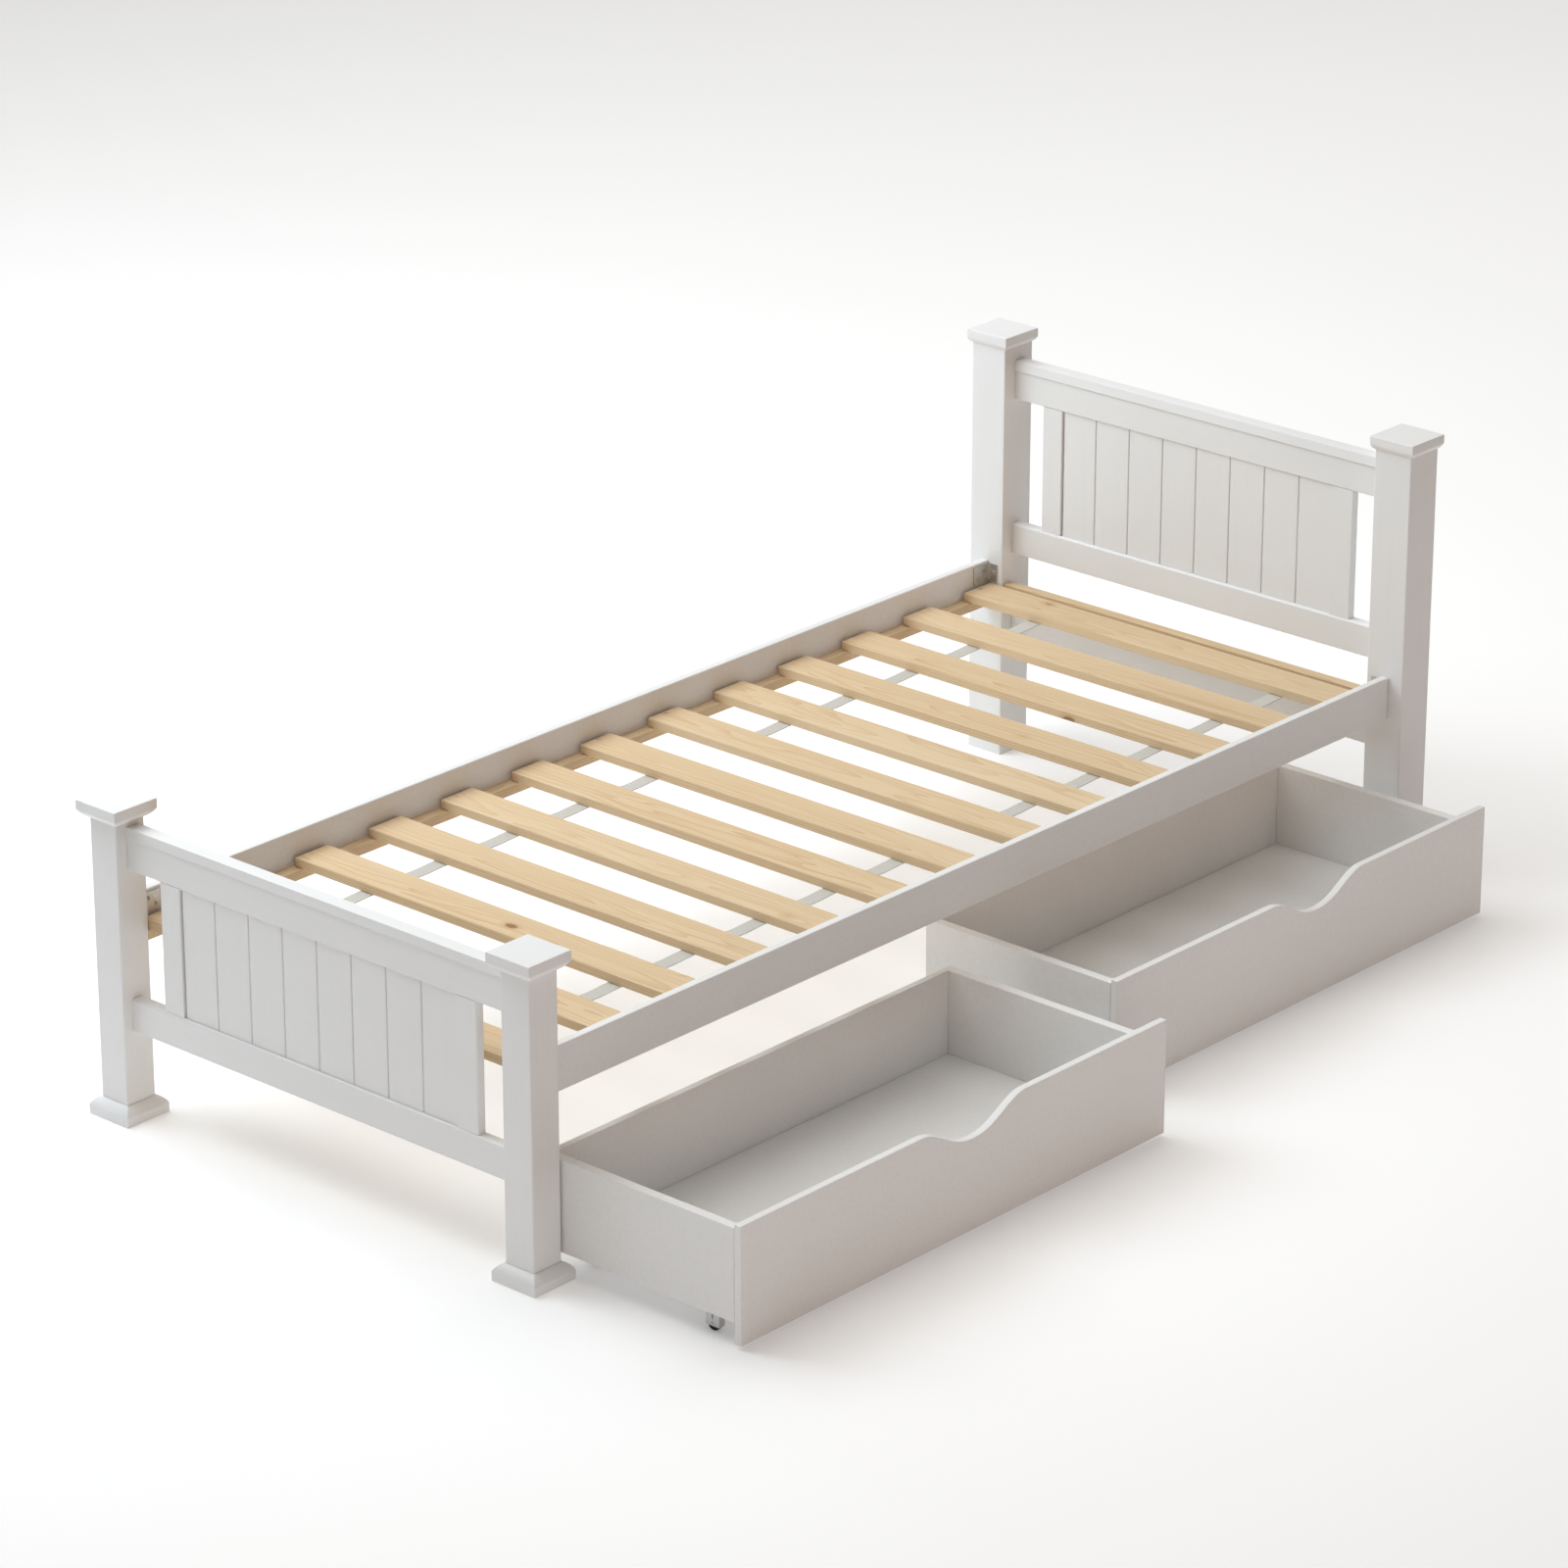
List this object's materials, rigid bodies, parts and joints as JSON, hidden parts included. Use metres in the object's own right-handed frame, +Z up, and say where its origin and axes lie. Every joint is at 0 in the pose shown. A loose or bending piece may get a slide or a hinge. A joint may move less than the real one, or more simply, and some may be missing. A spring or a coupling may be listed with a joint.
{
  "type": "bed frame",
  "caption": "White painted single bed frame with boarded head and foot panels, capped posts, pine slats and rolling under-bed drawers.",
  "frame": {"origin": "top face of the slats, on the bed's centre line, midway between the foot posts and the head posts", "axes": "+X towards the side the drawers open on, +Y from the foot to the head, +Z up; the floor is at z = -0.303"},
  "size_m": [1.2216, 2.0556, 0.7338],
  "materials": {
    "white_paint": "satin white paint on solid pine",
    "drawer_paint": "satin white paint on board",
    "bare_pine": "planed, unpainted",
    "bracket_steel": "zinc plated",
    "castor_steel": "bright plated pressing",
    "wheel_tread": "smooth black tread"
  },
  "bodies": {
    "bed_frame": {"head_post_left": "white_paint", "head_post_right": "white_paint", "head_cap_left": "white_paint", "head_cap_right": "white_paint", "head_top_rail": "white_paint", "head_panel_rail": "white_paint", "head_end_rail": "white_paint", "head_stile_left": "white_paint", "head_stile_right": "white_paint", "head_panel": "white_paint", "foot_post_left": "white_paint", "foot_post_right": "white_paint", "foot_cap_left": "white_paint", "foot_cap_right": "white_paint", "foot_plinth_left": "white_paint", "foot_plinth_right": "white_paint", "foot_top_rail": "white_paint", "foot_bottom_rail": "white_paint", "foot_stile_left": "white_paint", "foot_stile_right": "white_paint", "foot_panel": "white_paint", "side_rail_left": "white_paint", "side_rail_right": "white_paint", "slat_ledger_left": "bare_pine", "slat_ledger_right": "bare_pine", "head_batten": "bare_pine", "slat_roll_foot": "bare_pine", "slat_roll_head": "bare_pine", "bracket_foot_left": "bracket_steel", "bracket_foot_right": "bracket_steel", "bracket_head_left": "bracket_steel", "bracket_head_right": "bracket_steel"},
    "drawer_1": {"drawer_1_front": "drawer_paint", "drawer_1_side_foot": "drawer_paint", "drawer_1_side_head": "drawer_paint", "drawer_1_back": "drawer_paint", "drawer_1_base": "drawer_paint", "drawer_1_front_foot_bracket": "castor_steel", "drawer_1_front_head_bracket": "castor_steel", "drawer_1_rear_foot_bracket": "castor_steel", "drawer_1_rear_head_bracket": "castor_steel"},
    "drawer_1_front_foot_wheel_body": {"drawer_1_front_foot_wheel": "wheel_tread"},
    "drawer_1_front_head_wheel_body": {"drawer_1_front_head_wheel": "wheel_tread"},
    "drawer_1_rear_foot_wheel_body": {"drawer_1_rear_foot_wheel": "wheel_tread"},
    "drawer_1_rear_head_wheel_body": {"drawer_1_rear_head_wheel": "wheel_tread"},
    "drawer_2": {"drawer_2_front": "drawer_paint", "drawer_2_side_foot": "drawer_paint", "drawer_2_side_head": "drawer_paint", "drawer_2_back": "drawer_paint", "drawer_2_base": "drawer_paint", "drawer_2_front_foot_bracket": "castor_steel", "drawer_2_front_head_bracket": "castor_steel", "drawer_2_rear_foot_bracket": "castor_steel", "drawer_2_rear_head_bracket": "castor_steel"},
    "drawer_2_front_foot_wheel_body": {"drawer_2_front_foot_wheel": "wheel_tread"},
    "drawer_2_front_head_wheel_body": {"drawer_2_front_head_wheel": "wheel_tread"},
    "drawer_2_rear_foot_wheel_body": {"drawer_2_rear_foot_wheel": "wheel_tread"},
    "drawer_2_rear_head_wheel_body": {"drawer_2_rear_head_wheel": "wheel_tread"}
  },
  "joints": [
    {"name": "drawer_1_slide", "type": "slide", "parent": "bed_frame", "child": "drawer_1", "axis": [1, 0, 0], "range_m": [-0.3036, 0.0159]},
    {"name": "drawer_1_front_foot_spin", "type": "hinge", "parent": "drawer_1", "child": "drawer_1_front_foot_wheel_body", "pos_m": [0.6991, -0.93005, -0.292], "axis": [0, 1, 0], "continuous": true},
    {"name": "drawer_1_front_head_spin", "type": "hinge", "parent": "drawer_1", "child": "drawer_1_front_head_wheel_body", "pos_m": [0.6991, -0.11735, -0.292], "axis": [0, 1, 0], "continuous": true},
    {"name": "drawer_1_rear_foot_spin", "type": "hinge", "parent": "drawer_1", "child": "drawer_1_rear_foot_wheel_body", "pos_m": [0.4457, -0.89505, -0.292], "axis": [0, 1, 0], "continuous": true},
    {"name": "drawer_1_rear_head_spin", "type": "hinge", "parent": "drawer_1", "child": "drawer_1_rear_head_wheel_body", "pos_m": [0.4457, -0.15235, -0.292], "axis": [0, 1, 0], "continuous": true},
    {"name": "drawer_2_slide", "type": "slide", "parent": "bed_frame", "child": "drawer_2", "axis": [1, 0, 0], "range_m": [-0.1653, 0.1542]},
    {"name": "drawer_2_front_foot_spin", "type": "hinge", "parent": "drawer_2", "child": "drawer_2_front_foot_wheel_body", "pos_m": [0.5608, 0.04025, -0.292], "axis": [0, 1, 0], "continuous": true},
    {"name": "drawer_2_front_head_spin", "type": "hinge", "parent": "drawer_2", "child": "drawer_2_front_head_wheel_body", "pos_m": [0.5608, 0.85295, -0.292], "axis": [0, 1, 0], "continuous": true},
    {"name": "drawer_2_rear_foot_spin", "type": "hinge", "parent": "drawer_2", "child": "drawer_2_rear_foot_wheel_body", "pos_m": [0.3074, 0.07525, -0.292], "axis": [0, 1, 0], "continuous": true},
    {"name": "drawer_2_rear_head_spin", "type": "hinge", "parent": "drawer_2", "child": "drawer_2_rear_head_wheel_body", "pos_m": [0.3074, 0.81795, -0.292], "axis": [0, 1, 0], "continuous": true}
  ],
  "couplings": [
    {"joint": "drawer_1_front_foot_spin", "follows": "drawer_1_slide", "rad_per_m": 90.909},
    {"joint": "drawer_1_front_head_spin", "follows": "drawer_1_slide", "rad_per_m": 90.909},
    {"joint": "drawer_1_rear_foot_spin", "follows": "drawer_1_slide", "rad_per_m": 90.909},
    {"joint": "drawer_1_rear_head_spin", "follows": "drawer_1_slide", "rad_per_m": 90.909},
    {"joint": "drawer_2_front_foot_spin", "follows": "drawer_2_slide", "rad_per_m": 90.909},
    {"joint": "drawer_2_front_head_spin", "follows": "drawer_2_slide", "rad_per_m": 90.909},
    {"joint": "drawer_2_rear_foot_spin", "follows": "drawer_2_slide", "rad_per_m": 90.909},
    {"joint": "drawer_2_rear_head_spin", "follows": "drawer_2_slide", "rad_per_m": 90.909}
  ]
}
